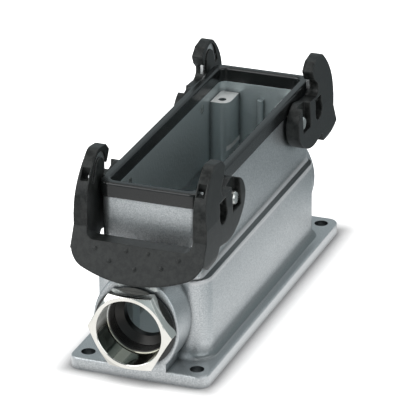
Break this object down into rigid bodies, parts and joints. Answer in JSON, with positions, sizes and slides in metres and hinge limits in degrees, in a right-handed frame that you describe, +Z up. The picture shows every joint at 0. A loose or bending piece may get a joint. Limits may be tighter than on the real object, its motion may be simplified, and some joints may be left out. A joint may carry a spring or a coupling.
{
  "type": "rectangular connector housing",
  "caption": "Surface-mounting base housing of a heavy duty rectangular connector, with a rim seal, two locking levers and a hexagonal cable adapter.",
  "frame": {"origin": "middle of the flange's underside, on the mounting surface", "axes": "+Z up out of the mounting surface, Y along the housing with the cable adapter at -Y, X across it"},
  "size_m": [0.057, 0.169, 0.0856],
  "materials": {
    "coat": "fine powder coat",
    "rubber": "matt moulded",
    "lever": "fine moulded grain",
    "pin": "turned",
    "steel": "stamped strip",
    "nickel": "bright nickel",
    "plug": "moulded"
  },
  "bodies": {
    "base": {"housing": "coat", "frame_seal": "rubber", "cable_adapter": "nickel", "adapter_ring": "rubber", "blanking_plug": "plug", "plug_ring": "rubber", "front_left_pivot_pin": "pin", "front_right_pivot_pin": "pin", "rear_left_pivot_pin": "pin", "rear_right_pivot_pin": "pin"},
    "front": {"front_lever": "lever", "front_left_hook_spring": "steel", "front_right_hook_spring": "steel"},
    "rear": {"rear_lever": "lever", "rear_left_hook_spring": "steel", "rear_right_hook_spring": "steel"}
  },
  "joints": [
    {"name": "front_lever_pivot", "type": "hinge", "parent": "base", "child": "front", "pos_m": [0, -0.0393, 0.0635], "axis": [-1, 0, 0], "range_deg": [0, 50]},
    {"name": "rear_lever_pivot", "type": "hinge", "parent": "base", "child": "rear", "pos_m": [0, 0.0393, 0.0635], "axis": [1, 0, 0], "range_deg": [0, 50]}
  ]
}
